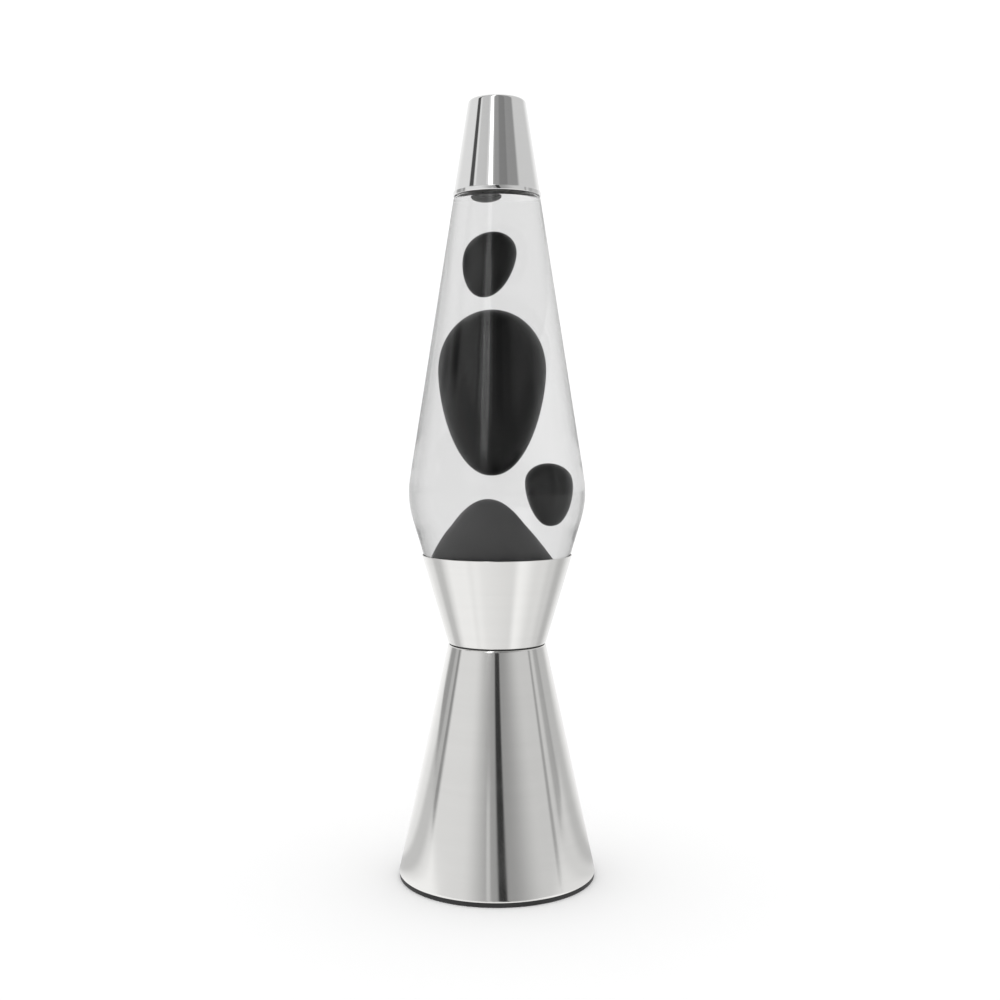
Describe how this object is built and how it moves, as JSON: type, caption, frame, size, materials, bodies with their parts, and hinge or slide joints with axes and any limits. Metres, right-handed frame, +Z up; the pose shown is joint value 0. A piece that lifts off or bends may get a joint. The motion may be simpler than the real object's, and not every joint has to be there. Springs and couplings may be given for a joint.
{
  "type": "lava lamp",
  "caption": "Rocket-shaped lava lamp: a tapered glass globe of clear liquid and dark wax in a waisted metal base, with a metal cap.",
  "frame": {"origin": "centre of the underside of the rubber foot ring, on the table", "axes": "+Z up along the lamp's axis, +Y towards the rear, where the cord gland is, +X to the right seen from the front"},
  "size_m": [0.0936, 0.0936, 0.3683],
  "materials": {
    "spun_metal": "spun, satin polish",
    "polished_metal": "spun and polished",
    "clear_glass": "clear, blown",
    "clear_liquid": "clear liquid",
    "black_wax": "smooth soft wax",
    "black_rubber": "matt",
    "black_plastic": "fine moulded texture",
    "plated_steel": "zinc plated",
    "brass_sheet": "stamped",
    "white_ceramic": "unglazed ceramic",
    "tinplate": "bright tinplate",
    "seal_liner": "soft foamed liner",
    "wire_insulation": "PVC",
    "nylon": "natural nylon",
    "bulb_clear_glass": "clear, thin",
    "bulb_dark_glass": "dark fused glass",
    "tungsten": "drawn wire",
    "steel_coil": "drawn wire"
  },
  "bodies": {
    "base": {"base_cone": "spun_metal", "base_cup": "spun_metal", "waist_gasket": "black_rubber", "waist_ferrule": "plated_steel", "foot_ring": "black_rubber", "bottom_cover": "black_plastic", "cover_screws": "plated_steel", "cord_gland": "black_plastic", "socket_bracket": "plated_steel", "bracket_rivets": "plated_steel", "socket_housing": "white_ceramic", "socket_shell": "brass_sheet", "socket_contact": "brass_sheet", "socket_nipple": "plated_steel", "lock_washer": "plated_steel", "nipple_nut": "plated_steel", "socket_lead_live": "wire_insulation", "socket_lead_neutral": "wire_insulation", "terminal_block": "nylon", "terminal_inserts": "brass_sheet", "terminal_screws": "plated_steel", "terminal_fixing_screw": "plated_steel"},
    "bulb": {"bulb_glass": "bulb_clear_glass", "bulb_stem": "bulb_clear_glass", "bulb_filament": "tungsten", "bulb_cap": "brass_sheet", "bulb_insulator": "bulb_dark_glass", "bulb_tip": "tinplate"},
    "globe": {"globe_glass": "clear_glass", "globe_liquid": "clear_liquid", "wax_pool": "black_wax", "wax_coil": "steel_coil", "wax_surface_lens": "black_wax", "crown_liner": "seal_liner", "crown_cap": "tinplate"},
    "cap": {"top_cap": "polished_metal"},
    "wax_large": {"wax_blob_large": "black_wax"},
    "wax_upper": {"wax_blob_upper": "black_wax"},
    "wax_side": {"wax_blob_side": "black_wax"}
  },
  "joints": [
    {"name": "globe_lift", "type": "slide", "parent": "base", "child": "globe", "axis": [0, 0, 1], "range_m": [0, 0.045]},
    {"name": "cap_lift", "type": "slide", "parent": "globe", "child": "cap", "axis": [0, 0, 1], "range_m": [0, 0.035]},
    {"name": "bulb_turn", "type": "hinge", "parent": "base", "child": "bulb", "pos_m": [0, 0, 0.0492], "axis": [0, 0, 1], "range_deg": [0, 1260]},
    {"name": "wax_large_drift", "type": "slide", "parent": "globe", "child": "wax_large", "axis": [0, 0, 1], "range_m": [-0.007, 0.003], "stiffness_N_per_m": 10, "springref_m": 0.0624},
    {"name": "wax_upper_drift", "type": "slide", "parent": "globe", "child": "wax_upper", "axis": [0, 0, 1], "range_m": [-0.003, 0.012], "stiffness_N_per_m": 10, "springref_m": 0.00645},
    {"name": "wax_side_drift", "type": "slide", "parent": "globe", "child": "wax_side", "axis": [0, 0, 1], "range_m": [-0.004, 0.003], "stiffness_N_per_m": 10, "springref_m": 0.00509}
  ]
}
